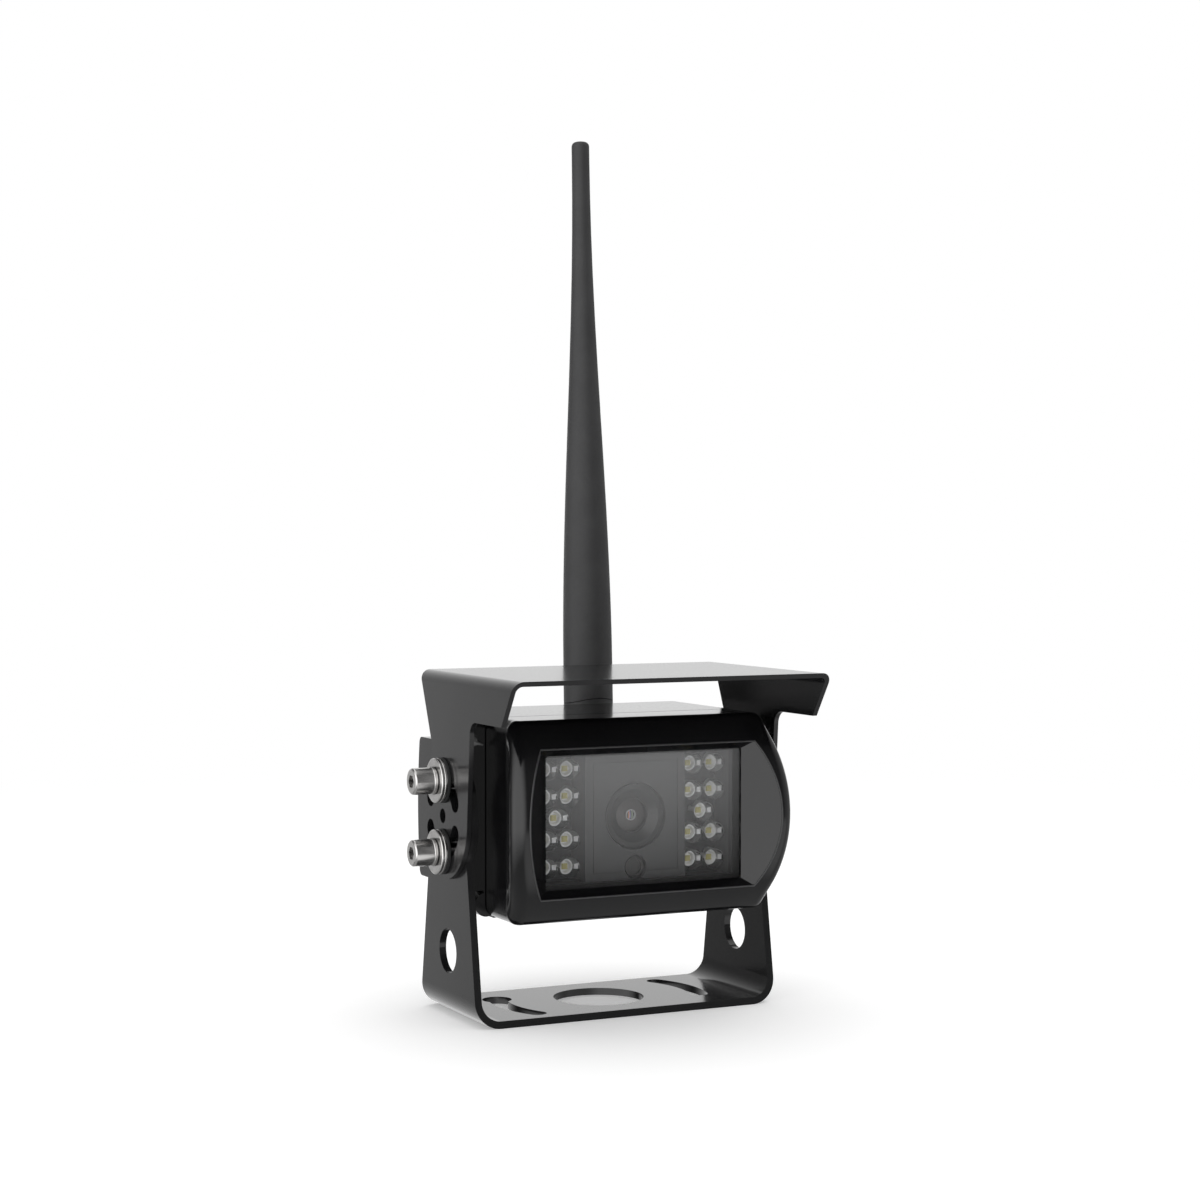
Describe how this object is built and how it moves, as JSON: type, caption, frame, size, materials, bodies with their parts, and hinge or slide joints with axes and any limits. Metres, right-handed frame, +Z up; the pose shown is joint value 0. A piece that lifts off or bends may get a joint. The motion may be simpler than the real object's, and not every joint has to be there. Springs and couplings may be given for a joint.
{
  "type": "security camera",
  "caption": "Wireless security camera with infrared LEDs, tilting on a U bracket under an adjustable sun visor, with a folding antenna",
  "frame": {"origin": "under the base, at the middle of its round centre hole, with the tilt axis straight above", "axes": "+Z up, the lens looks along -Y, +X is to the camera's left as it looks out and runs along the tilt axis"},
  "size_m": [0.1018, 0.0977, 0.2271],
  "materials": {
    "coated_sheet": "semi-gloss black powder coat on sheet steel",
    "gloss_body": "gloss black coat on die-cast aluminium",
    "steel": "bright stainless steel",
    "fibre": "matte black fibre",
    "window": "clear polished glass",
    "gasket": "matte black rubber",
    "dark_plastic": "dark satin moulded plastic",
    "panel_plastic": "dark grey matte plastic",
    "lens_metal": "black anodised aluminium",
    "lens_glass": "coated optical glass",
    "led_resin": "clear cast resin",
    "led_metal": "silvered lead frame",
    "led_die": "gold-coloured chip",
    "photocell_body": "dark glossy resin",
    "board": "green solder mask on glass-fibre board",
    "board_black": "black solder mask on glass-fibre board",
    "chip": "black moulded chip",
    "shield_can": "tinned shield can",
    "connector_metal": "gold-plated brass",
    "antenna_plastic": "matte black fine-grained plastic",
    "antenna_wire": "bright copper alloy",
    "wire_sleeve": "coloured wire insulation",
    "lead_sleeve": "black coax sleeve"
  },
  "bodies": {
    "bracket": {"u_bracket": "coated_sheet"},
    "visor": {"sun_visor": "coated_sheet"},
    "antenna_base": {"antenna_knuckle": "antenna_plastic"},
    "antenna_mast": {"hinge_pin": "steel", "antenna_fork": "antenna_plastic", "antenna_whip": "antenna_plastic", "antenna_core": "antenna_wire"},
    "camera": {"pivot_bolts": "steel", "spring_washers": "steel", "flat_washers": "steel", "fibre_washers": "fibre", "front_bezel": "gloss_body", "window_glass": "window", "window_gasket": "gasket", "window_frame": "dark_plastic", "lens_panel": "panel_plastic", "lens_barrel": "lens_metal", "lens_element": "lens_glass", "lens_holder": "dark_plastic", "photocell": "photocell_body", "led_board": "board_black", "led_board_screws": "steel", "led_domes": "led_resin", "led_cups": "led_metal", "led_posts": "led_metal", "led_dies": "led_die", "image_sensor": "chip", "sensor_board": "board", "spacer_screws": "steel", "board_spacers": "connector_metal", "main_board": "board", "main_board_screws": "steel", "radio_module": "shield_can", "board_header": "dark_plastic", "housing_gasket": "gasket", "rear_housing": "gloss_body", "housing_screws": "steel", "antenna_jack": "connector_metal", "jack_nut": "connector_metal", "jack_seal": "gasket", "coupling_nut": "connector_metal", "antenna_lead": "lead_sleeve", "power_inlet": "dark_plastic", "inlet_seal": "gasket", "inlet_nut": "dark_plastic", "inlet_pins": "connector_metal", "inlet_wires": "wire_sleeve"}
  },
  "joints": [
    {"name": "camera_tilt", "type": "hinge", "parent": "bracket", "child": "camera", "pos_m": [0, 0, 0.0501], "axis": [1, 0, 0], "range_deg": [-60, 60]},
    {"name": "visor_tilt", "type": "hinge", "parent": "camera", "child": "visor", "pos_m": [0, 0, 0.0501], "axis": [1, 0, 0], "range_deg": [-15, 28]},
    {"name": "antenna_swivel", "type": "hinge", "parent": "camera", "child": "antenna_base", "pos_m": [0.0194, 0.046, 0.0556], "axis": [0, 1, 0], "range_deg": [-90, 90]},
    {"name": "antenna_fold", "type": "hinge", "parent": "antenna_base", "child": "antenna_mast", "pos_m": [0.0194, 0.046, 0.0556], "axis": [-1, 0, 0], "range_deg": [-2, 88]}
  ]
}
